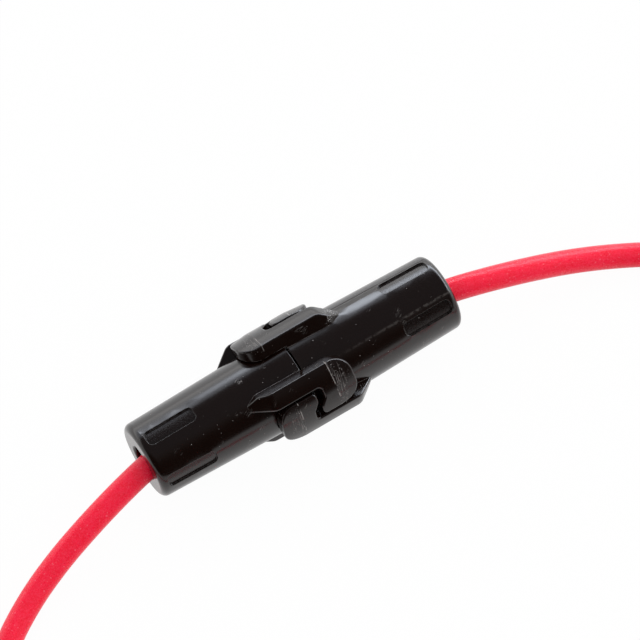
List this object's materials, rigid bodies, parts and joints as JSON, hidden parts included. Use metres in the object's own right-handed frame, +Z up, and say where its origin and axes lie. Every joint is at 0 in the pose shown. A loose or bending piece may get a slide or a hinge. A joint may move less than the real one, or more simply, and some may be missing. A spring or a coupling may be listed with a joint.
{
  "type": "inline fuse holder",
  "caption": "Twist-lock inline holder for a glass tube fuse: black moulded barrel halves with interlocking hooks and a red lead at each end.",
  "frame": {"origin": "on the surface it lies on, under the middle of the holder, at the parting plane between the halves", "axes": "+X along the holder towards the half that turns, +Z up, -Y towards the side the leads bend to"},
  "size_m": [0.1422, 0.0783, 0.0177],
  "materials": {
    "black_moulding": "glossy, scuffed on the hook heads",
    "red_insulation": "satin",
    "tinned_strands": "tinned, twisted strands",
    "copper_strands": "bare copper",
    "plated_contact": "nickel plated",
    "spring_wire": "plated wire",
    "fuse_glass": "clear",
    "fuse_cap": "nickel plated",
    "solder": "dull",
    "fuse_wire": "drawn wire"
  },
  "bodies": {
    "leads_and_fuse": {"lead_left": "red_insulation", "lead_right": "red_insulation", "bare_end_left": "tinned_strands", "bare_end_right": "tinned_strands", "strands_left": "copper_strands", "strands_right": "copper_strands", "contact_left": "plated_contact", "contact_right": "plated_contact", "contact_spring": "spring_wire", "fuse_glass": "fuse_glass", "fuse_cap_left": "fuse_cap", "fuse_cap_right": "fuse_cap", "fuse_solder_left": "solder", "fuse_solder_right": "solder", "fuse_element": "fuse_wire"},
    "left_half": {"barrel_left": "black_moulding"},
    "right_half": {"barrel_right": "black_moulding"}
  },
  "joints": [
    {"name": "push_pull", "type": "slide", "parent": "leads_and_fuse", "child": "left_half", "axis": [1, 0, 0], "range_m": [-0.0007, 0.00025], "deforming": ["contact_spring"]},
    {"name": "twist_lock", "type": "hinge", "parent": "leads_and_fuse", "child": "right_half", "pos_m": [0, 0, 0.0093], "axis": [1, 0, 0], "range_deg": [0, 33]}
  ]
}
